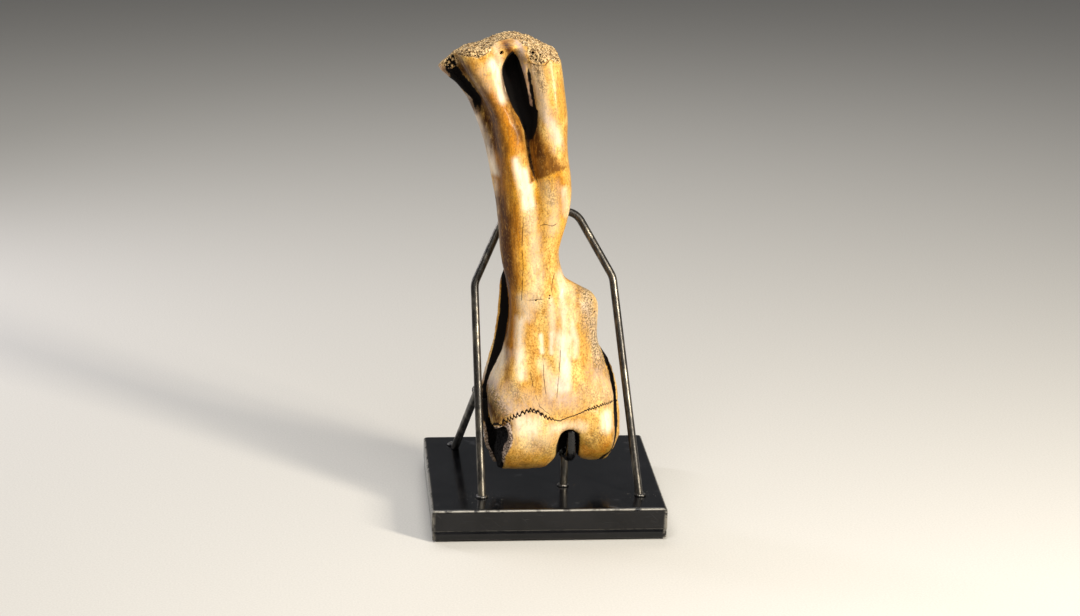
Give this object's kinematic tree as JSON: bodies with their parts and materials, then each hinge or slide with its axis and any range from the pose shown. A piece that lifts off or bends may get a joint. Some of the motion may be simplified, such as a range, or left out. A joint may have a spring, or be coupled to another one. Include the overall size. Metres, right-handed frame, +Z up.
{
  "type": "fossil mammoth humerus on a display stand",
  "caption": "Fossil left upper arm bone of a young mammoth, standing on its lower joint end on a square black steel base, held by a saddle rod and a leaning hoop.",
  "frame": {"origin": "on the ground, under the middle of the square base", "axes": "+Z up, +X to the right as the bone's front is seen, +Y to the back; the bone's front faces -Y"},
  "size_m": [0.35, 0.35, 0.729],
  "materials": {
    "fossil_bone": "polished",
    "black_lacquer": "gloss",
    "dark_steel": "oiled",
    "black_sleeve": "gloss",
    "weld_steel": "as welded",
    "black_felt": "matt"
  },
  "bodies": {
    "root": {"humerus": "fossil_bone", "base_tray": "black_lacquer", "base_plinth": "black_lacquer", "base_felt": "black_felt", "hoop": "dark_steel", "rear_brace": "dark_steel", "centre_post": "dark_steel", "saddle": "dark_steel", "saddle_sleeve_front": "black_sleeve", "saddle_sleeve_rear": "black_sleeve", "hoop_sleeve": "black_sleeve", "weld_left_leg": "weld_steel", "weld_right_leg": "weld_steel", "weld_brace_foot": "weld_steel", "weld_brace_top": "weld_steel", "weld_post_foot": "weld_steel", "weld_saddle": "weld_steel"}
  },
  "joints": []
}
